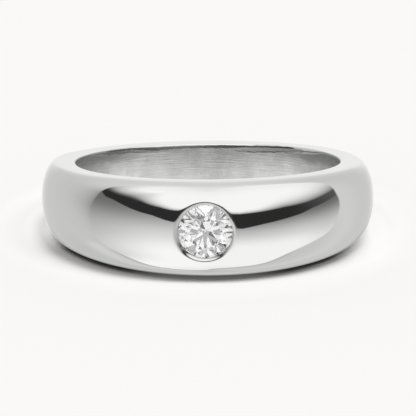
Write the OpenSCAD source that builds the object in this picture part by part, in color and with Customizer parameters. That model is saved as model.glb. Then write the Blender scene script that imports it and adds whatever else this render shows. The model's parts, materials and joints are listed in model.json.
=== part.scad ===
// Domed, tapering finger ring with one round brilliant set flush in its head.
// All sizes in millimetres. The ring lies on its lower rim on the plane z = 0,
// with the stone towards -Y. The origin is where the axis of the finger hole
// meets that plane.

/* [Finger hole] */
// Diameter of the finger hole
bore_d = 12; // [11.4:0.1:12.6]

/* [Band] */
// Width along the finger at the front, measured at the wall of the hole
width_front = 4.2; // [4:0.1:4.6]
// Width along the finger at the back, measured at the wall of the hole
width_back = 2; // [1.6:0.1:2.4]
// Thickness of the metal at the middle of the front
wall_front = 2; // [1.9:0.05:2.4]
// Thickness of the metal at the middle of each side
wall_side = 1.5; // [1.4:0.05:1.8]
// Thickness of the metal at the middle of the back
wall_back = 1.45; // [1.4:0.05:1.7]
// Breadth of the flat part of the rims at the front
flat_front = 0.4; // [0.2:0.05:0.6]
// Breadth of the flat part of the rims at each side
flat_side = 0.8; // [0.5:0.05:0.9]
// Breadth of the flat part of the rims at the back
flat_back = 1.1; // [0.8:0.05:1.2]
// Fullness of the dome across its width: 2 is an ellipse, more is squarer
dome_power = 2.2; // [2:0.1:3]
// Fullness of the shoulders where the dome turns into the flat rims
shoulder_power = 2; // [1.8:0.1:2.6]

/* [Stone] */
// Diameter of the brilliant at its girdle
stone_d = 2.5; // [2.4:0.05:2.6]
// Breadth of the table as a share of the diameter
table_share = 0.57; // [0.53:0.01:0.62]
// Slope of the crown's main facets, in degrees
crown_angle = 34.5; // [33:0.5:36]
// Slope of the pavilion's main facets, in degrees
pavilion_angle = 40.8; // [40:0.2:41.6]
// Thickness of the girdle
girdle_t = 0.05; // [0.03:0.01:0.08]

/* [Setting] */
// How far the stone's centre lies above the middle of the band's width
stone_lift = 0.1; // [0:0.05:0.2]
// Depth of the girdle below the highest point of the dome
girdle_sink = 0.48; // [0.46:0.01:0.5]
// How far the burnished lip covers the girdle, all round
lip_cover = 0.04; // [0.04:0.01:0.07]
// Gap between the stone and its seat
seat_gap = 0.02; // [0.015:0.005:0.03]
// Depth below the crest at which the bright bevel of the lip starts
bevel_sink = 0.3; // [0.28:0.01:0.32]
// Outward run of the bevel for each millimetre of its height
bevel_slope = 0.45; // [0.3:0.05:0.6]
// Radius of the open hole under the stone
light_hole_r = 0.6; // [0.5:0.05:0.7]

/* [Hidden] */

// Sections round the band, and steps across each section
sections = 144;
steps = 22;

bore_r = bore_d / 2;
half_side = (width_front + width_back) / 4;
rim_slope = (width_front - width_back) / 2 / bore_d;
rest_lean = atan(rim_slope);
crest_r = bore_r + wall_front;

stone_r = stone_d / 2;
table_r = stone_r * table_share;
mains = 8;
main_step = 360 / mains;
half_step = main_step / 2;
// The girdle's corners stand outside the circle that trims them
corner_r = stone_r / cos(half_step / 2);
crown_slope = tan(crown_angle);
pavilion_slope = tan(pavilion_angle);
crown_h = (corner_r - table_r) * crown_slope;
pavilion_h = corner_r * pavilion_slope;
star_r = table_r + (corner_r - table_r) * 0.5 / cos(half_step);
lower_r = corner_r * 0.23;
star_h = (corner_r - star_r * cos(half_step)) * crown_slope;
lower_h = (corner_r - lower_r * cos(half_step)) * pavilion_slope;
half_girdle = girdle_t / 2;

// Slopes of the seat, which follow the outermost edges of the stone
seat_slope = lower_h / (corner_r - lower_r);
lip_slope = star_h / (corner_r - star_r);
lip_r = stone_r - lip_cover;
seat_r = stone_r + seat_gap;
// Cutters run this far past the metal
past = 1;

// A value given at the front, the sides and the back, eased round the ring.
// The angle is 0 at the front.
function around(front, side, back, angle) =
    (front + back + 2 * side) / 4
    + (front - back) / 2 * cos(angle)
    + (front + back - 2 * side) / 4 * cos(2 * angle);

// Half the band's width at a radius, between its two flat sloping rims
function half_width(r, angle) = half_side + rim_slope * r * cos(angle);

// One point of the band's outside. Turn is -90 at the lower rim, 0 at the
// crest of the dome and 90 at the upper rim.
function skin_point(angle, turn) =
    let (
        flat_part = around(flat_front, flat_side, flat_back, angle),
        wall = around(wall_front, wall_side, wall_back, angle),
        out = pow(cos(turn), 2 / shoulder_power),
        up = sign(turn) * pow(abs(sin(turn)), 2 / dome_power),
        r = bore_r + flat_part + (wall - flat_part) * out
    )
    [r * sin(angle), -r * cos(angle), half_width(r, angle) * up];

// The band's outer form with no hole: a dome closed by the two flat rims
module outer_form() {
    row = steps + 1;
    points = [
        for (i = [0 : sections - 1], j = [0 : steps])
            skin_point(i * 360 / sections, -90 + 180 * j / steps)
    ];
    sides = [
        for (i = [0 : sections - 1], j = [0 : steps - 1])
            let (a = i * row + j, b = ((i + 1) % sections) * row + j)
            each [[a, a + 1, b + 1], [a, b + 1, b]]
    ];
    upper_rim = [for (i = [sections - 1 : -1 : 0]) i * row + steps];
    lower_rim = [for (i = [0 : sections - 1]) i * row];
    polyhedron(points, concat(sides, [upper_rim, lower_rim]), convexity = 4);
}

module finger_hole() {
    cylinder(r = bore_r, h = 2 * width_front, center = true, $fn = 180);
}

// Everything that is cut away for the stone, round the stone's own axis, with
// height 0 at the girdle: bevel, opening under the lip, seat, light hole
module seat_cutter() {
    bevel_base = girdle_sink - bevel_sink;
    lip_base = half_girdle + (corner_r - lip_r) * lip_slope + seat_gap;
    seat_top = half_girdle + (corner_r - seat_r) * lip_slope + seat_gap;
    seat_base = half_girdle + (corner_r - seat_r) * seat_slope + seat_gap;
    hole_top = half_girdle + (corner_r - light_hole_r) * seat_slope + seat_gap;
    rotate_extrude($fn = 96)
        polygon([
            [0, past],
            [lip_r + (past - bevel_base) * bevel_slope, past],
            [lip_r, bevel_base],
            [lip_r, lip_base],
            [seat_r, seat_top],
            [seat_r, -seat_base],
            [light_hole_r, -hole_top],
            [light_hole_r, -wall_front - past],
            [0, -wall_front - past]
        ]);
}

// Puts a piece drawn round the stone's axis into the head of the band
module at_head() {
    translate([0, girdle_sink - crest_r, stone_lift])
        rotate([90, 0, 0])
            children();
}

// Lays the ring down: its lower rim is flat on z = 0 and its finger axis
// leans back by the slope of the rim
module laid_down() {
    rotate([-rest_lean, 0, 0])
        translate([0, 0, half_side])
            children();
}

// Corners of the brilliant, level by level: table, stars, girdle, lower
// facets and culet
function ring_of(r, h, count, first) =
    [for (i = [0 : count - 1]) let (a = first + i * 360 / count) [r * cos(a), r * sin(a), h]];

module brilliant() {
    corners = concat(
        ring_of(table_r, half_girdle + crown_h, mains, 0),
        ring_of(star_r, half_girdle + star_h, mains, half_step),
        ring_of(corner_r, half_girdle, 2 * mains, 0),
        ring_of(corner_r, -half_girdle, 2 * mains, 0),
        ring_of(lower_r, -half_girdle - lower_h, mains, half_step),
        [[0, 0, -half_girdle - pavilion_h]]
    );
    intersection() {
        hull() polyhedron(corners, [for (i = [1 : len(corners) - 2]) [0, i, i + 1]]);
        cylinder(r = stone_r, h = 2 * stone_d, center = true, $fn = 96);
    }
}

// Shank, domed head, seat and burnished lip are one piece of metal
module band() {
    color("silver")
        laid_down()
            difference() {
                outer_form();
                finger_hole();
                at_head() seat_cutter();
            }
}

module stone() {
    color([0.88, 0.94, 1])
        laid_down()
            at_head()
                brilliant();
}

band();
stone();
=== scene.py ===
import json
import math

import bpy
import numpy as np
from mathutils import Matrix, Vector


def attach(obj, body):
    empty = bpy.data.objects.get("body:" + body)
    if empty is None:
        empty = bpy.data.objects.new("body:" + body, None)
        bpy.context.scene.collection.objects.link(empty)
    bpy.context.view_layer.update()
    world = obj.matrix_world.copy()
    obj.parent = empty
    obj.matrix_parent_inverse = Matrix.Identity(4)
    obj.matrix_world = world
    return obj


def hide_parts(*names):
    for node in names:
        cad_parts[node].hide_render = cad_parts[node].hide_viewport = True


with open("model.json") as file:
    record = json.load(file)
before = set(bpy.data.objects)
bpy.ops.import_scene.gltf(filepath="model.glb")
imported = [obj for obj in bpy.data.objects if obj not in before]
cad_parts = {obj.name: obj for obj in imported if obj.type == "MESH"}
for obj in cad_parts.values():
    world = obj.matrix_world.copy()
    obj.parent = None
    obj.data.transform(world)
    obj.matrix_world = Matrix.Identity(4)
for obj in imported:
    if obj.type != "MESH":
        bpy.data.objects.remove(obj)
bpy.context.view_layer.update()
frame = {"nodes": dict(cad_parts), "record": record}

mm = 0.001        # sizes below are in millimetres, Blender works in metres
scene = bpy.context.scene

# Camera: it stands still at the photo's angle, far enough away for a flat, long lens look
camera = {
    "elevation": 18.36,              # degrees above the floor
    "azimuth": 0.75,                 # degrees towards +X
    "distance": 300.0,
    "pixelsPerMm": 22.048,           # at the target
    "target": (0.0, 0.1415, 2.0),    # a point inside the finger hole
    "targetPixel": (207.75, 185.28),    # where the photo shows that point
    "imageSize": 416,
    "sensor": 36.0,
    "nearest": 0.01,                 # metres
}


def addCamera(settings):
    # the aim moves across the view until the target falls on its pixel, and the lens makes the scale there
    a, e = math.radians(settings["azimuth"]), math.radians(settings["elevation"])
    right = Vector((math.cos(a), math.sin(a), 0))
    back = Vector((math.sin(a) * math.cos(e), -math.cos(a) * math.cos(e), math.sin(e)))
    up = back.cross(right)
    half = settings["imageSize"] / 2
    px, py = settings["targetPixel"]
    aim = Vector(settings["target"]) - right * ((px - half) / settings["pixelsPerMm"])
    aim -= up * ((half - py) / settings["pixelsPerMm"])
    data = bpy.data.cameras.new("camera")
    data.sensor_width = settings["sensor"]
    viewWidth = settings["imageSize"] / settings["pixelsPerMm"]
    data.lens = settings["sensor"] * settings["distance"] / viewWidth
    data.clip_start = settings["nearest"]
    obj = bpy.data.objects.new("camera", data)
    turn = Matrix((right, up, back)).transposed().to_4x4()
    obj.matrix_world = Matrix.Translation((aim + back * settings["distance"]) * mm) @ turn
    scene.collection.objects.link(obj)
    scene.camera = obj


addCamera(camera)
print("camera ready")

# The band: a domed, tapering shank with the stone's seat in its head
hole = next(m for m in frame["record"]["mounts"] if m["name"] == "finger_hole")
band = {
    "holeRadius": hole["dims"]["r_mm"],
    "widthFront": 4.2, "widthBack": 2.0,                    # at the wall of the hole
    "wallFront": 2.0, "wallSide": 1.5, "wallBack": 1.45,    # thickness of the metal
    "flatFront": 0.4, "flatSide": 0.8, "flatBack": 1.1,     # flat part of the rims
    "domePower": 2.2, "shoulderPower": 2.0,
    # the rounding where a rim meets the hole is hand finished: a shallow strip of the wall, then a polished
    # turn. Tilt of the turn at the back in degrees, and its growth with the square of the way to the right
    # and left, which starts and ends at these radians from the back
    "edgeTilt": 12.8, "tiltRight": (46.0, 0.0, 0.8), "tiltLeft": (52.0, 0.45, 0.9),
    # values on the left, in the middle and on the right of the back, and where the outer ones take over
    "edgeTurn": (0.07, 0.165, 0.07), "edgeStrip": (0.14, 0.09, 0.21), "stripTilt": (1.0, 0.2, 1.0),
    "leftPart": (0.42, 0.65), "rightPart": (0.1, 0.32),
    # where both shrink, in radians on the left and right, softness, and by what share
    "edgeEnd": (1.15, 1.1, 0.25, 0.85),
    "stripLift": (20.0, 0.36, 0.62),         # the strip leans further on the far right: degrees, from, to
    # its steps: the strip in four parts with a foot, the turn in four parts that spread in tilt, a bright
    # line at its end that widens towards the back, and the shoulder up to the rim
    "stripTilts": (1.0, 0.9), "stripParts": (0.14, 0.14, 0.36, 0.36), "stripFoot": 3.0,
    "turnSpread": (-2.5, -0.8, 0.9, 2.8), "turnParts": (0.15, 0.35, 0.35, 0.15),
    "footStep": 0.012, "brightTilt": 15, "brightStep": (0.012, 0.033, 0.75, 0.3),
    "shoulder": (44, 62, 80), "shoulderStep": 0.016,
    "edgeWaver": 0.06,                       # share of each length, by sines: strength, times round, start
    "wavers": ((1, 7, 1), (0.7, 17, 4), (0.5, 41, 0), (0.4, 67, 2)),
    "rimLean": 0.01,                         # the upper rim climbs to the right, per millimetre
    # it stands higher at the back, less so at the far right: height or share of it, from, to
    "rimRise": (0.045, -2, 5), "riseEnd": (0.8, 4.5, 7.2),
    # and higher at the far left, lower at the far right: height, from, to
    "leftRise": (0.1, 5.4, 7.3), "rightFall": (0.05, 6.2, 7.4),
    "within": 0.9995,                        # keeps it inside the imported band's box
    "around": 480, "across": 80, "rim": 6, "edge": 13, "wall": 48,       # faces
    "depthSteps": 30,                        # repeats that find the dome's depth
}
seat = {
    "lift": 0.1,                     # stone above the middle of the band
    "sink": 0.48,                    # girdle below the crest of the dome
    "lipRadius": 1.21, "seatRadius": 1.27, "holeRadius": 0.6,
    "lipStart": 1.7, "lipFade": 1.52,    # the burnished lip begins between these
    # the lip was pushed down by hand, so it changes round the stone: position in degrees (0 right, 90 top),
    # radius where it turns down, slope, softness of the turn
    "lip": ((0, 1.285, 1.1, 0.028), (30, 1.255, 0.8, 0.04), (60, 1.275, 0.95, 0.055),
            (90, 1.345, 0.6, 0.02), (120, 1.36, 0.6, 0.03), (150, 1.405, 0.47, 0.045),
            (180, 1.425, 0.41, 0.036), (210, 1.415, 0.53, 0.05), (240, 1.375, 1.05, 0.03),
            (270, 1.368, 0.97, 0.024), (300, 1.355, 1.05, 0.02), (330, 1.264, 1.2, 0.053),
            (360, 1.285, 1.1, 0.028)),
    # its rounded edge: reach, and height as a share of that; its thinnest metal, and least drop below it
    "lipRound": 0.015, "edgeHeight": 0.5, "lipThin": 0.014, "lipDrop": 0.002,
    # heights above the girdle, and depths below it
    "lipBase": 0.1026, "seatTop": 0.049, "seatBase": 0.049, "holeTop": 0.6405,
    "holeRim": 0.63, "rimRound": 0.03,    # the light hole opens to this radius in the wall, from this deep
    # rings of points: dome, start of the lip, the lip to this far from its edge, turn of the edge in
    # degrees, down the opening, seat, wall of the hole
    "domeRings": 9, "coarseRings": (1.68, 1.5, 7), "fineRings": (1.48, 0.02, 21),
    "edgeBends": (25, 50, 75, 90), "downSteps": (0.5, 0.9, 1.0), "seatRings": (1.0, 0.8), "wallRings": 14,
    # faces that make way for the seat
    "blockAround": 20, "blockLow": 14, "blockHigh": 70, "blockWall": 3,
}

halfSide = (band["widthFront"] + band["widthBack"]) / 4
rimSlope = (band["widthFront"] - band["widthBack"]) / 4 / band["holeRadius"]
lean = math.atan(rimSlope)
crest = band["holeRadius"] + band["wallFront"]


def smooth(value, low, high):
    # zero below low, one above high, a cubic ease between
    t = ((value - low) / (high - low)).clip(0, 1)
    return t * t * (3 - 2 * t)


def less(value, share, low, high):
    # what is left of one after that share of it has gone, eased in from low to high
    return 1 - share * smooth(value, low, high)


def hump(value, comes, full, goes, gone):
    # eased up to one and down again
    return smooth(value, comes, full) * (1 - smooth(value, goes, gone))


def eased(front, side, back, around):
    # front value at 0, side value at 90 and back value at 180 degrees, joined by two cosines
    return ((front + back + 2 * side) / 4 + (front - back) / 2 * np.cos(around)
            + (front + back - 2 * side) / 4 * np.cos(2 * around))


def halfWidth(radius, around):
    # half the band's width grows in a straight line with the distance in front of the finger axis
    return halfSide + rimSlope * radius * np.cos(around)


def skin(around, turn):
    # a superellipse across the band: cosine power outwards, sine power upwards
    flat = eased(band["flatFront"], band["flatSide"], band["flatBack"], around)
    wall = eased(band["wallFront"], band["wallSide"], band["wallBack"], around)
    out = np.cos(turn).clip(0) ** (2 / band["shoulderPower"])
    up = np.sign(turn) * np.abs(np.sin(turn)) ** (2 / band["domePower"])
    radius = band["holeRadius"] + flat + (wall - flat) * out
    return np.stack([radius * np.sin(around), -radius * np.cos(around), halfWidth(radius, around) * up], -1)


def domeFront(x, z):
    # the same dome seen from the front: depth found by repeating radius -> angle and width -> radius
    radius = np.full_like(x, crest)
    for step in range(band["depthSteps"]):
        around = np.arcsin(x / radius)
        flat = eased(band["flatFront"], band["flatSide"], band["flatBack"], around)
        wall = eased(band["wallFront"], band["wallSide"], band["wallBack"], around)
        up = np.abs(z) / halfWidth(radius, around)
        out = (1 - up ** band["domePower"]).clip(0) ** (1 / band["shoulderPower"])
        radius = band["holeRadius"] + flat + (wall - flat) * out
    return -np.sqrt(radius ** 2 - x ** 2)


def edgeShape(around):
    # tilt and length of each step from the wall to the rim, added up: first a shallow step that parts off a
    # strip of the wall, then the polished turn. Returns the way outwards and upwards
    a = around[:, None]
    fromBack = np.angle(np.exp(1j * (a - math.pi)))        # below zero on the right, above zero on the left
    leftShare, rightShare = smooth(fromBack, *band["leftPart"]), smooth(-fromBack, *band["rightPart"])

    def byPlace(values):
        # the middle's value, eased over to the outer ones
        left, centre, right = values
        return centre + (left - centre) * leftShare + (right - centre) * rightShare

    def growth(way, amount, start, end):
        # grows with the square of the way past the start, up to the end
        return amount * (way.clip(start, end) - start) ** 2

    middle = band["edgeTilt"] + growth(-fromBack, *band["tiltRight"]) + growth(fromBack, *band["tiltLeft"])
    leftEnd, rightEnd, soft, share = band["edgeEnd"]
    ended = np.maximum(smooth(fromBack, leftEnd - soft, leftEnd),
                       smooth(-fromBack, rightEnd - soft, rightEnd))
    turn, strip = (byPlace(band[name]) * (1 - share * ended) for name in ("edgeTurn", "edgeStrip"))
    lift, liftFrom, liftTo = band["stripLift"]
    step = byPlace(band["stripTilt"]) * middle + lift * smooth(-fromBack, liftFrom, liftTo)
    thin, wider, brightEnd, brightSoft = band["brightStep"]
    bright = thin + wider * smooth(brightEnd - np.abs(fromBack), 0, brightSoft)
    zero = np.zeros_like(middle)
    tilts = [zero] + [step * part for part in band["stripTilts"]] + [zero + band["stripFoot"]] * 2
    tilts += [middle + part for part in (*band["turnSpread"], band["brightTilt"])]
    tilts += [zero + part for part in band["shoulder"]]
    lengths = [zero + band["footStep"]] + [strip * part for part in band["stripParts"]]
    lengths += [turn * part for part in band["turnParts"]] + [bright]
    lengths += [zero + band["shoulderStep"]] * len(band["shoulder"])
    tilt, length = np.radians(np.concatenate(tilts, 1)), np.concatenate(lengths, 1)
    waver = sum(strength * np.sin(times * a + start) for strength, times, start in band["wavers"])
    length = length * (1 + band["edgeWaver"] * waver)
    return np.cumsum(length * np.sin(tilt), 1), np.cumsum(length * np.cos(tilt), 1)


def section(around):
    # one closed loop across the band: dome, upper rim, rounded edge, wall of the hole, edge, lower rim
    a = around[:, None]
    r = band["holeRadius"]
    flat = eased(band["flatFront"], band["flatSide"], band["flatBack"], a)
    dome = skin(a, np.radians(np.linspace(-90, 90, band["across"] + 1))[None, :])
    out, up = edgeShape(around)
    s = np.arange(1, band["rim"] + 1)[None, :] / band["rim"]
    w = np.arange(1, band["wall"] + 1)[None, :] / band["wall"]

    def ringPoints(radius, height):
        # a radius and a height, carried to every angle round the hole
        radius, height = np.broadcast_arrays(radius, height)
        return np.stack([radius * np.sin(a), -radius * np.cos(a), height], -1)

    rimEnd = out[:, -1:]
    rimRadius = r + flat + (rimEnd - flat) * s
    wallTop = halfWidth(r + rimEnd, a) - up[:, -1:]
    upperRim = ringPoints(rimRadius, halfWidth(rimRadius, a))
    upperEdge = ringPoints(r + out[:, -2::-1], wallTop + up[:, -2::-1])
    upperEdge = np.concatenate([upperEdge, ringPoints(r, wallTop)], 1)
    wall = ringPoints(r, wallTop * (1 - 2 * w))
    flip = np.array([1, 1, -1])
    lowerEdge = np.concatenate([upperEdge[:, -2::-1], upperRim[:, -1:]], 1) * flip
    lowerRim = upperRim[:, -2::-1] * flip
    return np.concatenate([dome, upperRim, upperEdge, wall, lowerEdge, lowerRim], 1)


def quads(rows, columns, wrapRows=False, wrapColumns=False):
    # corner numbers of a grid whose points are numbered row by row, and the row and column of each face
    m = np.arange(rows if wrapRows else rows - 1)
    k = np.arange(columns if wrapColumns else columns - 1)
    m, k = np.meshgrid(m, k, indexing="ij")
    mNext, kNext = (m + 1) % rows, (k + 1) % columns
    corners = [m * columns + k, mNext * columns + k, mNext * columns + kNext, m * columns + kNext]
    return np.stack(corners, -1), m, k


def border(grid, left, right, low, high):
    # the grid's numbers round a block, from its lower left corner towards the right
    up = 1 if high > low else -1
    return np.concatenate([grid[left:right, low], grid[right, low:high:up],
                           grid[right:left:-1, high], grid[left, high:low:-up]])


def seatRings(outer, inner):
    # rings round the stone's axis: they leave a square block of the dome, close in to the lip,
    # go down its opening, round the seat and through the light hole, and end in a square block of the wall
    centre = np.array([0.0, seat["lift"]])
    away = outer[:, [0, 2]] - centre
    turn = np.arctan2(away[:, 1], away[:, 0])
    spoke = np.stack([np.cos(turn), np.sin(turn)], -1)
    girdle = -(crest - seat["sink"])
    rings = []

    def addRing(flatPoints, depth):
        # one ring: places across the front, and how deep they lie
        rings.append(np.stack([flatPoints[:, 0], depth, flatPoints[:, 1]], -1))

    for s in np.linspace(0, 1, seat["domeRings"] + 1)[1:]:    # dome, from the block to the start of the lip
        flatPoints = centre + away * (1 - s) + spoke * seat["lipStart"] * s
        addRing(flatPoints, domeFront(flatPoints[:, 0], flatPoints[:, 1]))

    lip = np.array(seat["lip"])
    place = np.degrees(turn) % 360
    before = np.searchsorted(lip[:, 0], place, side="right") - 1
    share = smooth(place, lip[before, 0], lip[before + 1, 0])[:, None]
    lipTurn, lipSlope, lipSoft = (lip[before] + (lip[before + 1] - lip[before]) * share)[:, 1:].T

    def lipPoint(rho):
        # the burnished lip rolls in from the dome to a cone, and stays just above its own underside
        cone = lipSoft * np.logaddexp(0, (lipTurn - rho) / lipSoft)
        fade = 1 - smooth(np.array(rho), seat["lipFade"], seat["lipStart"])
        flatPoints = centre + spoke * rho
        depth = domeFront(flatPoints[:, 0], flatPoints[:, 1]) + lipSlope * cone * fade
        across = max(0.0, rho - seat["lipRadius"]) / (seat["seatRadius"] - seat["lipRadius"])
        under = girdle - (seat["lipBase"] + (seat["seatTop"] - seat["lipBase"]) * across)
        return flatPoints, np.minimum(depth, under - seat["lipThin"]) if across < 1 else depth

    roundStart = seat["lipRadius"] + seat["lipRound"]
    fineStart, fineEnd, fineCount = seat["fineRings"]
    fineRings = np.linspace(fineStart, roundStart + fineEnd, fineCount)
    for rho in [*np.linspace(*seat["coarseRings"]), *fineRings, roundStart]:
        addRing(*lipPoint(rho))
    lipEdge = rings[-1][:, 1]
    for bend in np.radians(seat["edgeBends"]):
        rho = roundStart - seat["lipRound"] * math.sin(bend)
        drop = seat["lipRound"] * (1 - math.cos(bend)) * seat["edgeHeight"]
        addRing(centre + spoke * rho, lipEdge + drop)
    lipEdge = rings[-1][:, 1]
    lipBase = np.maximum(girdle - seat["lipBase"], lipEdge + seat["lipDrop"])
    for s in seat["downSteps"]:
        addRing(centre + spoke * seat["lipRadius"], lipEdge + (lipBase - lipEdge) * s)

    # the seat under the lip: radius and height above the girdle, with narrow steps at its sharp corners
    lipRadius, seatRadius, holeRadius = seat["lipRadius"], seat["seatRadius"], seat["holeRadius"]
    top, base, holeTop = seat["seatTop"], -seat["seatBase"], -seat["holeTop"]
    profile = [(lipRadius + 0.006, seat["lipBase"] - 0.005), (seatRadius - 0.005, top + 0.004),
               (seatRadius, top), (seatRadius, base + 0.005), (seatRadius - 0.004, base - 0.004)]
    profile += [(rho, base + (holeTop - base) * (seatRadius - rho) / (seatRadius - holeRadius))
                for rho in (*seat["seatRings"], holeRadius + 0.02)]
    profile.append((holeRadius, holeTop - 0.01))
    for rho, height in profile:
        addRing(centre + spoke * rho, np.full(len(spoke), girdle - height))

    wallRadius = band["holeRadius"]
    holeEdge = rings[-1][:, 1]
    for rho, s in ((holeRadius, 0.5), (holeRadius, 1.0), (seat["holeRim"], None)):
        flatPoints = centre + spoke * rho
        wallDepth = -np.sqrt(wallRadius ** 2 - flatPoints[:, 0] ** 2)
        holeDepth = wallDepth - seat["rimRound"]
        addRing(flatPoints, wallDepth if s is None else holeEdge + (holeDepth - holeEdge) * s)
    for s in np.linspace(0, 1, seat["wallRings"] + 2)[1:-1]:
        flatPoints = centre + spoke * seat["holeRim"] * (1 - s) + (inner[:, [0, 2]] - centre) * s
        addRing(flatPoints, -np.sqrt(wallRadius ** 2 - flatPoints[:, 0] ** 2))
    return np.stack(rings)


def layDown(points):
    # the upper rim leans and rises a little, then the whole ring turns until its lower rim is flat
    x, y, height = points.T
    share = (height / halfWidth(np.hypot(x, y), np.arctan2(x, -y)) + 1) / 2    # 0 at the lower rim, 1 above
    rise, riseFrom, riseTo = band["rimRise"]
    left, leftFrom, leftTo = band["leftRise"]
    right, rightFrom, rightTo = band["rightFall"]
    lift = rise * smooth(y, riseFrom, riseTo) * less(x, *band["riseEnd"])
    lift += left * smooth(-x, leftFrom, leftTo) - right * smooth(x, rightFrom, rightTo)
    z = height + (band["rimLean"] * x + lift) * share + halfSide
    c, s = math.cos(lean), math.sin(lean)
    return np.stack([x, y * c + z * s, -y * s + z * c], -1) * band["within"]


def addMesh(name, points, faces, material):
    # one smooth mesh from points in millimetres and faces that name their corners by number
    mesh = bpy.data.meshes.new(name)
    mesh.from_pydata((points * mm).tolist(), [], faces.tolist())
    mesh.validate()
    mesh.shade_smooth()
    mesh.materials.append(material)
    obj = bpy.data.objects.new(name, mesh)
    scene.collection.objects.link(obj)
    return obj


def bandPoints():
    # the section carried round the hole; a block of its faces makes way for the rings of the seat
    around = (np.arange(band["around"]) / band["around"] * 2 - 1) * math.pi
    shell = section(around)
    columns, loop = shell.shape[:2]
    shell = shell.reshape(-1, 3)
    grid = np.arange(len(shell)).reshape(columns, loop)
    faces, column, row = quads(columns, loop, wrapRows=True, wrapColumns=True)
    front = columns // 2
    left, right = front - seat["blockAround"], front + seat["blockAround"]
    low, high = seat["blockLow"], seat["blockHigh"]
    wallFirst = band["across"] + band["rim"] + band["edge"]
    wallHigh = wallFirst + seat["blockWall"]
    wallLow = wallHigh + high - low
    inBlock = (column >= left) & (column < right)
    domeBlock = inBlock & (row >= low) & (row < high)
    wallBlock = inBlock & (row >= wallHigh) & (row < wallLow)
    outer = border(grid, left, right, low, high)
    inner = border(grid, left, right, wallLow, wallHigh)
    rings = seatRings(shell[outer], shell[inner])
    count = rings.shape[1]
    numbers = np.arange(rings.shape[0] * count).reshape(-1, count) + len(shell)
    numbers = np.concatenate([outer[None], numbers, inner[None]])
    following = np.roll(numbers, -1, 1)
    seatFaces = np.stack([numbers[:-1], following[:-1], following[1:], numbers[1:]], -1)
    faces = np.concatenate([faces[~(domeBlock | wallBlock)], seatFaces.reshape(-1, 4)])
    points = np.concatenate([shell, rings.reshape(-1, 3)])
    used, faces = np.unique(faces, return_inverse=True)
    return layDown(points[used]), faces.reshape(-1, 4)


class Nodes:
    # a short way to fill a tree, emptied first: a number, a colour or a socket goes into each named input
    def __init__(self, tree):
        self.tree = tree
        tree.nodes.clear()

    def add(self, kind, settings=None, **inputs):
        # an underscore and a number name an input by its place, any other underscore is a space
        node = self.tree.nodes.new("ShaderNode" + kind)
        for name, value in (settings or {}).items():
            setattr(node, name, value)
        for name, value in inputs.items():
            key = int(name[1:]) if name[0] == "_" else name.replace("_", " ")
            socket = node.inputs[key]
            if isinstance(value, bpy.types.NodeSocket):
                self.tree.links.new(value, socket)
            else:
                socket.default_value = value
        return node

    def math(self, operation, *values):
        # one operation on one or two values
        inputs = {"_%d" % place: value for place, value in enumerate(values)}
        return self.add("Math", {"operation": operation}, **inputs).outputs[0]

    def times(self, product, *others):
        # all values multiplied, from left to right
        for other in others:
            product = self.math("MULTIPLY", product, other)
        return product

    def ramp(self, value, fromLow, fromHigh, toLow, toHigh, soft=False):
        # carries one range to another in a straight line, or with a cubic ease, and is level past its ends
        kind = "SMOOTHSTEP" if soft else "LINEAR"
        return self.add("MapRange", {"interpolation_type": kind, "clamp": True}, Value=value,
                        From_Min=fromLow, From_Max=fromHigh, To_Min=toLow, To_Max=toHigh).outputs[0]

    def mix(self, share, low, high):
        # a number that share of the way from low to high
        return self.add("Mix", {"data_type": "FLOAT"}, Factor=share, A=low, B=high).outputs[0]

    def tint(self, share, under, over):
        # a colour that share of the way from one to the other
        return self.add("Mix", {"data_type": "RGBA"}, _0=share, _6=under, _7=over).outputs[2]

    def noise(self, place, stretch, detail, roughness):
        # soft patches, with more of them to the millimetre along an axis that is stretched more
        stretched = self.add("VectorMath", {"operation": "MULTIPLY"}, _0=place, _1=stretch).outputs[0]
        clouds = self.add("TexNoise", Vector=stretched, Scale=1, Detail=detail, Roughness=roughness)
        return clouds.outputs["Fac"]


def newMaterial(name):
    # an empty material, and the nodes to fill it with
    material = bpy.data.materials.new(name)
    material.use_nodes = True
    return material, Nodes(material.node_tree)


metal = {
    "colour": (0.82, 0.82, 0.81, 1), "seatColour": (0.95, 0.95, 0.94, 1),
    # noise: stretch along each axis, detail, roughness
    "strokes": ((0.9, 0.9, 13), 5, 0.6), "patches": ((0.7, 0.7, 2.2), 3, 0.5),
    "marks": ((2.2, 2.2, 2.2), 4, 0.55), "clouds": ((1.3, 1.3, 1.0), 3, 0.6),
    # where each part fades, in millimetres: outwards from the hole's wall
    "wallOut": (0.0005, 0.003), "edgeStart": (0.001, 0.004), "edgeStop": (0.045, 0.06),
    "filmOut": (0.03, 0.06),
    # along the ring's depth, and outwards from the stone's axis
    "headFront": (-6.3, -6.1), "seatOut": (1.19, 1.205), "grimeOut": (1.215, 1.3), "lipOut": (1.3, 1.46),
    # roughness: from, to, values there
    "polished": (0.35, 0.75, 0.035, 0.055),        # by the marks, on the dome and rims
    "worked": (0.35, 0.65, 0.16, 0.26),            # by the patches, in the hole, left as finished by hand
    "rounded": (-4.0, 0.0, 0.27, 0.2),             # by the way to the right, where a rim meets the hole
    "lipRoughness": 0.2,                           # the lip keeps the marks of the burnisher
    "wallDepth": 0.0035, "polishDepth": 0.00006,   # millimetres of relief
    # share of the colour left under the painted shade in the crevice next to the stone, the clouds in the
    # hole and the painted shade under the rim
    "grimeLeft": 0.7, "cloudLeft": 0.87, "filmLeft": 0.56,
    "cloudFrom": (0.35, 0.65),       # in the noise
    # painted shade under the rim at the sides, a darker colour: depth below the rim where it fades,
    # distance to the side where it comes; it ends higher or lower by the patches, and higher on the right
    "filmDepth": (0.4, 0.78), "filmAside": (2.4, 4.7),
    "filmWaver": (0.3, 0.7, -0.12, 0.12), "filmRight": (3.0, 4.8, 0, 0.14),
}


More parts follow.
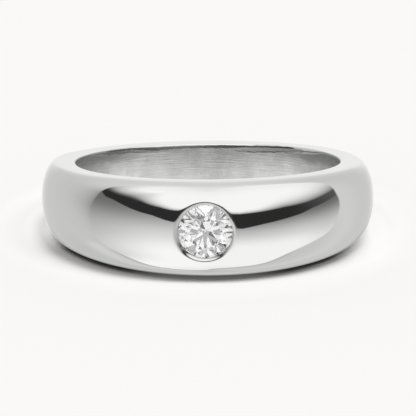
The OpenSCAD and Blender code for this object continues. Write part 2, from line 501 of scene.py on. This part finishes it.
def whiteGold():
    # masks for the hole, its rounded edge, the head, the lip and the seat, and for the painted shade next
    # to the stone and under the rim; each one mixes in its own roughness or its share of the colour
    material, n = newMaterial("whiteGold")
    place = n.add("TexCoord").outputs["Object"]
    ringAxes = n.add("Mapping", Vector=place, Rotation=(lean, 0, 0), Scale=(1 / mm,) * 3).outputs[0]
    x, y, z = n.add("SeparateXYZ", Vector=ringAxes).outputs
    names = ("strokes", "patches", "marks", "clouds")
    strokes, patches, marks, clouds = (n.noise(ringAxes, *metal[name]) for name in names)

    def away(first, second):
        # length of the way that two coordinates make
        flatPlace = n.add("CombineXYZ", X=first, Y=second).outputs[0]
        return n.add("VectorMath", {"operation": "LENGTH"}, _0=flatPlace).outputs["Value"]

    radius = away(x, y)
    stoneRadius = away(x, n.math("SUBTRACT", z, halfSide + seat["lift"]))

    def fromWall(start, end, *values):
        # a ramp over the distance outwards from the wall of the hole
        return n.ramp(radius, band["holeRadius"] + start, band["holeRadius"] + end, *values)

    def darker(left):
        # the metal's colour with that share of it left
        return [part * left for part in metal["colour"][:3]] + [1]

    inHole = fromWall(*metal["wallOut"], 1, 0, True)
    onEdge = n.times(fromWall(*metal["edgeStart"], 0, 1), fromWall(*metal["edgeStop"], 1, 0))
    head = n.ramp(y, *metal["headFront"], 1, 0)
    onLip = n.times(n.ramp(stoneRadius, *metal["lipOut"], 1, 0, True), head)
    inSeat = n.times(n.ramp(stoneRadius, *metal["seatOut"], 1, 0), head)

    rough = n.mix(inHole, n.ramp(marks, *metal["polished"]), n.ramp(patches, *metal["worked"]))
    rough = n.mix(onLip, rough, metal["lipRoughness"])
    rough = n.mix(onEdge, rough, n.ramp(x, *metal["rounded"]))

    # painted shade: a darker colour on the wall of the hole just under the upper rim, towards the sides
    upperRim = n.math("SUBTRACT", 2 * halfSide, n.math("MULTIPLY", y, rimSlope))
    below = n.math("ADD", n.math("SUBTRACT", upperRim, z), n.ramp(patches, *metal["filmWaver"]))
    below = n.math("ADD", below, n.ramp(x, *metal["filmRight"], True))
    aside = n.ramp(n.math("ABSOLUTE", x), *metal["filmAside"], 0, 1, True)
    nearWall = fromWall(*metal["filmOut"], 1, 0, True)
    underRimShade = n.times(n.ramp(below, *metal["filmDepth"], 1, 0, True), aside, nearWall)
    cloud = n.times(n.ramp(clouds, *metal["cloudFrom"], 1, 0, True), inHole)
    # painted shade: a darker ring of colour in the crevice round the stone, between the seat and the lip
    paintedShade = n.times(n.ramp(stoneRadius, *metal["grimeOut"], 1, 0, True),
                    n.ramp(stoneRadius, *metal["seatOut"], 0, 1), head)
    # the painted shade darkens the colour round the stone
    colour = n.tint(paintedShade, metal["colour"], darker(metal["grimeLeft"]))
    colour = n.tint(cloud, colour, darker(metal["cloudLeft"]))
    # the painted shade under the rim darkens the colour there
    colour = n.tint(underRimShade, colour, darker(metal["filmLeft"]))
    colour = n.tint(inSeat, colour, metal["seatColour"])

    relief = n.math("ADD", n.times(strokes, metal["wallDepth"] * mm, inHole),
                    n.times(marks, metal["polishDepth"] * mm))
    bump = n.add("Bump", Height=relief, Strength=1.0, Distance=1.0).outputs[0]
    shader = n.add("BsdfPrincipled", Base_Color=colour, Metallic=1.0, Roughness=rough, Normal=bump)
    n.add("OutputMaterial", Surface=shader.outputs[0])
    return material


points, faces = bandPoints()
bandPiece = addMesh("bandDressed", points, faces, whiteGold())
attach(bandPiece, "root")
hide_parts("band")
print("band:", len(faces), "faces")

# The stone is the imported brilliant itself, which has true facets
brilliant = {"ior": 2.417, "colour": (1, 1, 1, 1)}


def diamond():
    # clear all through, with perfectly smooth facets
    material, n = newMaterial("diamond")
    shader = n.add("BsdfPrincipled", Base_Color=brilliant["colour"], Roughness=0.0, IOR=brilliant["ior"],
                   Transmission_Weight=1.0)
    n.add("OutputMaterial", Surface=shader.outputs[0])
    return material


stone = frame["nodes"]["stone"]
stone.data.materials.clear()
stone.data.materials.append(diamond())
print("stone ready")

# The studio: what the polished metal mirrors. Angles are in degrees, azimuth 0 is in front of the ring and
# grows to the right, height 0 is the horizon. Brightness is linear, 1 is white paper
studio = {
    "radius": 900.0, "around": 721, "up": 361,    # size, and rows of points
    # brightest and darkest, with the share that goes high up and far aside, and what is added on the right
    "white": 1.12, "whiteHigh": (0.06, 65, 90), "whiteAside": (0.06, 90, 140),
    "black": 0.028, "blackRight": (0.075, 60, 115),
    "farLeft": (40, 80),              # degrees to the left where values for the far left take over
    # the dark gap between table and soft light: azimuth, lower edge, upper edge, fade above it
    "gap": ((-115, 41, 41, 22), (-100, 35, 40, 24), (-90, 31, 39.5, 28), (-80, 30, 39.5, 32),
            (-70, 26.5, 39.3, 32), (-60, 22.5, 38.0, 29), (-50, 19, 35.2, 24), (-40, 16.5, 33, 17),
            (-30, 11, 29.9, 12), (-25, 9, 29.4, 10), (25, -2, 21.2, 9), (40, 1.5, 21.2, 12),
            (60, 4.5, 21.5, 25), (70, 6, 20, 30), (80, 9, 19, 34), (100, 11, 19.5, 36), (115, 14, 20, 40)),
    "gapEdge": (-0.4, 0.6),           # softness of the lower edge
    # share of that fade that rises slowly and power of the rest, first as usual, then at the far left
    "gapToe": (0.1, 0.4), "gapPower": (2.6, 1.4), "toeEase": (-0.1, 1),
    # the table on each side: where its shade starts and ends in height, brightness in shade and in light
    "tableLeft": (30, -35, 0.27, 1.13), "tableRight": (12, -28, 0.18, 1.08), "tableTurn": (-20, 20),
    # it is dimmer under the ring, to the left, but not low down, and to the right: share, from, to
    "tableUnder": (0.12, 66, 92), "tableDimLeft": (0.36, 28, 92), "tableLow": (42, 66),
    "tableDimRight": (0.13, 65, 95),
    # where the grey side screens begin: height, azimuth on the left, azimuth on the right
    "screens": ((-88, -125, 5), (-84, -115, 20), (-80, -105, 44), (-75, -97, 62), (-71, -92, 69),
                (-66, -84, 70), (-60, -77, 69), (-54, -76, 68), (-47, -76, 68), (-41, -78, 71),
                (-34, -82, 77), (-26, -85, 88), (-20, -86, 98), (-10, -88, 103), (0, -89, 106),
                (15, -91, 108), (30, -97, 118), (44, -112, 135), (60, -150, 160)),
    "screenRound": (-6, -4, -2, 0, 2, 4, 6),           # its corners are rounded over these heights
    "screenLeftEdge": (-0.7, 1), "screenRightEdge": (-1, 1),    # softness
    "side": 0.67, "sideLight": (0.1, 112, 15),         # the right one is lightest at: share, azimuth, reach
    "sideLow": (0.07, 20, 45),                         # the left one is dimmer low down: share, from, to
    # and dim next to the gap: share, reach, heights where that comes, share and heights where it goes again
    "screenShade": (0.5, 12.0), "shadeLow": (-25, 15), "shadeHigh": (0.75, 30, 46),
    "screenGain": (0.12, 26, 44),                      # but lighter high up: share, from, to
    "topLeft": (44, 66), "topRight": (36, 72), "topShare": 0.96,    # higher up they turn into soft light
    # this far down a dark line borders both screens, and on the left a lighter band follows it: share,
    # distance and width of each in degrees
    "screenFoot": (36, 48), "footLine": (0.2, 1.2, 2.0),
    "bandFoot": (26, 38), "footBand": (0.2, 11.0, 10.0),
    # behind the ring: height, brightness
    "behind": ((-90, 0.6), (-75, 0.61), (-66, 0.72), (-57, 0.7), (-45, 0.5), (-35, 0.3), (-27, 0.3),
               (-21, 0.8), (-14, 0.91), (6, 0.91), (10, 0.8), (35, 0.79), (50, 0.75), (60, 0.8),
               (75, 0.93), (90, 1.0)),
    "behindFrom": (148, 180),         # degrees aside where this takes over
    # a bright panel there: brightness, height of its top, fall of that per degree aside, softness
    "panel": (0.91, 28, 1.2, 5), "panelFoot": (-16, -10), "panelSide": (163, 173),
}


def bell(value, middle, reach):
    # one at the middle, falling off on both sides with the square of the distance in the exponent
    return np.exp(-((value - middle) / reach) ** 2)


def tableAndLight(azimuth, height, farLeft, white):
    # below the gap the table, above it the soft light, which rises as a power of the way up
    gap = np.array(studio["gap"])
    lower, upper, fade = (np.interp(azimuth, gap[:, 0], gap[:, i]) for i in (1, 2, 3))
    pairs = studio["gapToe"], studio["gapPower"]
    toe, power = (usual + (left - usual) * farLeft for usual, left in pairs)
    added, blackFrom, blackTo = studio["blackRight"]
    black = studio["black"] + added * smooth(azimuth, blackFrom, blackTo)
    above = ((height - upper) / fade).clip(0, 1)
    light = black + (white - black) * (1 - (1 - above) ** power) * smooth(above / toe, *studio["toeEase"])

    def table(start, end, shade, lit):
        # shade near the gap, light further down
        return shade + (lit - shade) * smooth(-height, -start, -end)

    right = smooth(azimuth, *studio["tableTurn"])
    glow = table(*studio["tableLeft"]) * (1 - right) + table(*studio["tableRight"]) * right
    share, dimFrom, dimTo = studio["tableDimLeft"]
    share = share * (1 - smooth(-height, *studio["tableLow"]))
    glow = glow * less(-azimuth, share, dimFrom, dimTo) * less(azimuth, *studio["tableDimRight"])
    glow = glow * less(-height, *studio["tableUnder"])
    return light + (glow - light) * smooth(lower - height, *studio["gapEdge"])


def sideScreens(azimuth, height, farLeft, white):
    # brightness of the two grey screens, and a mask that is one on them
    screens = np.array(studio["screens"])
    onLeft = azimuth < 0

    def softLine(values):
        # the mean of the line through the values at several heights, which rounds its corners off
        steps = studio["screenRound"]
        return sum(np.interp(height + step, screens[:, 0], values) for step in steps) / len(steps)

    left, right = softLine(screens[:, 1]), softLine(screens[:, 2])
    share, reach = studio["screenShade"]
    share = share * less(height, *studio["shadeHigh"])
    shade = 1 - share * np.exp(-(left - azimuth).clip(0) / reach) * smooth(height, *studio["shadeLow"])
    gain, gainFrom, gainTo = studio["screenGain"]
    shade = np.where(onLeft, shade * (1 + gain * smooth(height, gainFrom, gainTo)), 1.0)
    share, *place = studio["sideLight"]
    shade = shade * (1 + share * bell(azimuth, *place))
    share, lowFrom, lowTo = studio["sideLow"]
    shade = shade * less(-height, share * farLeft, lowFrom, lowTo)
    beyond = np.where(onLeft, left - azimuth, azimuth - right) * np.cos(np.radians(height))
    line, *linePlace = studio["footLine"]
    wide, *widePlace = studio["footBand"]
    shade = shade * (1 - line * bell(beyond, *linePlace) * smooth(-height, *studio["screenFoot"]))
    wide = np.where(onLeft, wide, 0) * smooth(-height, *studio["bandFoot"])
    shade = shade * (1 + wide * bell(beyond, *widePlace))
    top = np.where(onLeft, smooth(height, *studio["topLeft"]), smooth(height, *studio["topRight"]))
    glow = studio["side"] * shade * (1 - top) + white * top * studio["topShare"]
    return glow, np.maximum(smooth(left - azimuth, *studio["screenLeftEdge"]),
                            smooth(azimuth - right, *studio["screenRightEdge"]))


def studioGlow(azimuth, height):
    # the table and the soft light with the dark gap between, then the side screens, the far wall and its
    # panel, each laid over the last by its mask
    aside = np.abs(azimuth)
    farLeft = smooth(-azimuth, *studio["farLeft"])
    white = studio["white"] * less(height, *studio["whiteHigh"]) * less(aside, *studio["whiteAside"])
    glow = tableAndLight(azimuth, height, farLeft, white)
    sides, onSides = sideScreens(azimuth, height, farLeft, white)
    glow = glow + (sides - glow) * onSides
    behind = np.interp(height, *np.array(studio["behind"]).T)
    glow = glow + (behind - glow) * smooth(aside, *studio["behindFrom"])
    panel, panelTop, perDegree, soft = studio["panel"]
    top = panelTop - perDegree * (180 - aside)
    onPanel = hump(height, *studio["panelFoot"], top - soft, top + soft)
    return glow + (panel - glow) * onPanel * smooth(aside, *studio["panelSide"])


def glowMaterial(name):
    # gives off the brightness that the mesh holds at each point
    material, n = newMaterial(name)
    glow = n.add("Attribute", {"attribute_name": "glow"}).outputs["Fac"]
    n.add("OutputMaterial", Surface=n.add("Emission", Strength=glow).outputs[0])
    material.cycles.emission_sampling = "NONE"
    return material


def setGlow(obj, values):
    # stores one brightness at each point
    obj.data.attributes.new("glow", "FLOAT", "POINT").data.foreach_set("value", values.ravel())


# What the cut stone gathers: the same gap, small patches, and less light at the back and low down
stoneStudio = {
    "white": 1.06, "gapReach": 0.85, "gapDark": 0.62, "gapEdge": (-1, 1),    # shares of it, and softness
    # patches: spacing in degrees, start in radians, then share that goes, from and to in the sines' product
    "acrossStep": 17, "upStep": 14, "acrossStart": 0.7, "upStart": 0.4,
    "darkPatches": (0.95, 0.52, 0.58), "dimPatches": (0.06, 0.1, 0.3),
    "dimBack": (0.2, 100, 150), "dimLow": (0.12, 10, 60),    # share that goes, from and to in degrees
}


def stoneGlow(azimuth, height):
    # even light with the gap in it, broken up by small dark patches, from a product of two sines, and by
    # dim ones between them
    gap = np.array(studio["gap"])
    lower, upper = (np.interp(azimuth, gap[:, 0], gap[:, i]) for i in (1, 2))
    middle, reach = (lower + upper) / 2, (upper - lower) / 2 * stoneStudio["gapReach"]
    inGap = reach - np.abs(height - middle)
    glow = stoneStudio["white"] * less(inGap, stoneStudio["gapDark"], *stoneStudio["gapEdge"])
    patches = np.sin(2 * math.pi * azimuth / stoneStudio["acrossStep"] + stoneStudio["acrossStart"])
    patches = patches * np.sin(2 * math.pi * height / stoneStudio["upStep"] + stoneStudio["upStart"])
    glow = glow * less(patches, *stoneStudio["darkPatches"]) * less(-patches, *stoneStudio["dimPatches"])
    return glow * less(np.abs(azimuth), *stoneStudio["dimBack"]) * less(-height, *stoneStudio["dimLow"])


def addDome(name, glow):
    # a sphere round the ring, built by azimuth and height, that only mirrored and refracted rays see
    across, upwards = np.linspace(-180, 180, studio["around"]), np.linspace(-90, 90, studio["up"])
    azimuth, height = np.meshgrid(across, upwards, indexing="ij")
    a, e = np.radians(azimuth), np.radians(height)
    points = np.stack([np.cos(e) * np.sin(a), -np.cos(e) * np.cos(a), np.sin(e)], -1) * studio["radius"]
    faces = quads(*azimuth.shape)[0].reshape(-1, 4)
    dome = addMesh(name, points.reshape(-1, 3), faces, glowMaterial(name + "Glow"))
    setGlow(dome, glow(azimuth, height))
    dome.visible_camera = dome.visible_diffuse = dome.visible_shadow = False
    return dome


addDome("studioDome", studioGlow).visible_transmission = False
addDome("stoneDome", stoneGlow).visible_glossy = False
print("studio ready")

# The floor: plain, pale and matt, lit by soft lights above the ring
floor = {
    "colour": (0.9, 0.892, 0.879, 1), "depth": 0.004,
    "spokes": 181, "nearRings": (5.5, 11, 56), "farRings": (14, 30, 100, 1500),    # radii of its points
    # degrees away from straight above, azimuth, size in degrees, strength
    "lights": ((11, 60, 18, 1.135), (22, -45, 30, 0.96), (33, 72, 20, 0.563)),
    "fill": 0.207, "glow": 0.085,     # even light from all round, and an even haze
    # light that the polished sides throw back on the floor: strength, reach, degrees from the front where
    # it starts and is full, and how much later it starts close by, inside thrownClose. It is only there
    # outside the hole and goes out again towards the back
    "thrownRight": (0.58, 0.66, 42, 80, 12), "thrownLeft": (0.46, 0.72, 62, 88, 0),
    "thrownFrom": 7.2, "thrownClose": 8, "thrownOut": (6.1, 6.5), "thrownBack": (118, 150),
    "around": (0.07, 7.4, 7.8, 8.0, 10.5),    # a faint ring of it: strength, radii where it comes and goes
    "dip": (0.04, 8, 8.3, 9, 10), "dipSide": (55, 80),    # a little less on the right: same, and degrees
    # no haze in the shadow at the front corners: radii where it comes back, degrees from the front
    "contactRight": (7.4, 7.95, 15, 35, 52, 66), "contactLeft": (7.6, 8.5, 15, 35, 60, 76),
    "backdrop": 1.052,                # brightness where the floor ends and only the far wall is seen
}
# A disc in the hole, which only the metal sees, glows as painted light for the floor there: brightness at
# the back and front, painted shade next to the metal.
# It goes a little way under the ring; full brightness and shade begin at these shares of the radius
holeFloor = {
    "back": 0.95, "front": 0.33, "shade": 0.5, "under": 0.3, "fullAt": 0.6, "shadeAt": 0.55,
    "depth": 0.002, "rings": 25, "spokes": 97,
}


def floorGlow(radius, around):
    # an even haze, less of it close to the ring at the front corners, and light thrown back at the sides
    side, onRight = np.abs(np.degrees(around)), around > 0

    def thrown(strength, reach, start, full, later):
        # falls off exponentially from the ring, and comes in towards the side
        spread = strength * np.exp(-(radius - floor["thrownFrom"]).clip(0) / reach)
        return spread * smooth(side + later * (radius - floor["thrownClose"]).clip(-1, 0), start, full)

    def contact(near, far, *degrees):
        # one next to the ring, between those degrees
        return (1 - smooth(radius, near, far)) * hump(side, *degrees)

    added, *addedRadii = floor["around"]
    dip, *dipRadii = floor["dip"]
    haze = floor["glow"] + added * hump(radius, *addedRadii)
    haze = haze * (1 - np.where(onRight, contact(*floor["contactRight"]), contact(*floor["contactLeft"])))
    haze = haze - dip * hump(radius, *dipRadii) * np.where(onRight, smooth(side, *floor["dipSide"]), 0)
    sides = np.where(onRight, thrown(*floor["thrownRight"]), thrown(*floor["thrownLeft"]))
    sides = sides * (1 - smooth(side, *floor["thrownBack"])) * smooth(radius, *floor["thrownOut"])
    return haze + sides


def addFloor():
    # rings of points, close together near the ring and far apart beyond it; paper that also glows
    rings = np.concatenate([[0], np.linspace(*floor["nearRings"]), floor["farRings"]])
    spokes = np.linspace(-math.pi, math.pi, floor["spokes"])
    radius, around = np.meshgrid(rings, spokes, indexing="ij")
    depth = np.full_like(radius, -floor["depth"])
    points = np.stack([radius * np.sin(around), -radius * np.cos(around), depth], -1)
    faces = quads(*radius.shape)[0].reshape(-1, 4)
    material, n = newMaterial("floor")
    paper = n.add("BsdfDiffuse", Color=floor["colour"]).outputs[0]
    glow = n.add("Attribute", {"attribute_name": "glow"}).outputs["Fac"]
    haze = n.add("Emission", Color=floor["colour"], Strength=glow).outputs[0]
    n.add("OutputMaterial", Surface=n.add("AddShader", _0=paper, _1=haze).outputs[0])
    material.cycles.emission_sampling = "NONE"
    ground = addMesh("floor", points.reshape(-1, 3), faces, material)
    setGlow(ground, floorGlow(radius, around))
    ground.visible_glossy = ground.visible_transmission = False


def addHoleFloor():
    # painted light, brighter towards the back, and painted shade, dimmer towards the front and next to the
    # metal
    r = band["holeRadius"]
    rings, spokes = np.linspace(0, 1, holeFloor["rings"]), np.linspace(0, 2 * math.pi, holeFloor["spokes"])
    u, v = np.meshgrid(rings, spokes, indexing="ij")
    radius = u * (r + holeFloor["under"])
    points = np.stack([radius * np.cos(v), radius * np.sin(v), np.full_like(u, -holeFloor["depth"])], -1)
    faces = quads(*u.shape)[0].reshape(-1, 4)
    disc = addMesh("holeFloor", points.reshape(-1, 3), faces, glowMaterial("holeFloorGlow"))
    backShare = smooth(points[..., 1], -r, r * holeFloor["fullAt"])
    glow = holeFloor["front"] + (holeFloor["back"] - holeFloor["front"]) * backShare
    setGlow(disc, glow * less(radius, holeFloor["shade"], r * holeFloor["shadeAt"], r))
    disc.visible_camera = disc.visible_diffuse = disc.visible_shadow = False


def addLights():
    # soft suns by angle and size, an even fill, and a bright wall where the camera sees past the floor
    for away, azimuth, size, strength in floor["lights"]:
        lamp = bpy.data.lights.new("softLight", "SUN")
        lamp.energy = strength
        lamp.angle = math.radians(size)
        light = bpy.data.objects.new("softLight", lamp)
        light.rotation_euler = (math.radians(away), 0, math.radians(azimuth))
        light.visible_glossy = light.visible_transmission = False
        scene.collection.objects.link(light)
    scene.world = bpy.data.worlds.new("studio")
    scene.world.use_nodes = True
    n = Nodes(scene.world.node_tree)
    seen = n.add("LightPath").outputs["Is Camera Ray"]
    strength = n.mix(seen, floor["fill"], floor["backdrop"])
    n.add("OutputWorld", Surface=n.add("Background", Color=floor["colour"], Strength=strength).outputs[0])


addFloor()
addHoleFloor()
addLights()
scene.view_settings.view_transform = "Standard"
scene.cycles.max_bounces = 24
scene.cycles.glossy_bounces = 16
scene.cycles.transmission_bounces = 24
scene.cycles.diffuse_bounces = 0
print("floor and lights ready")
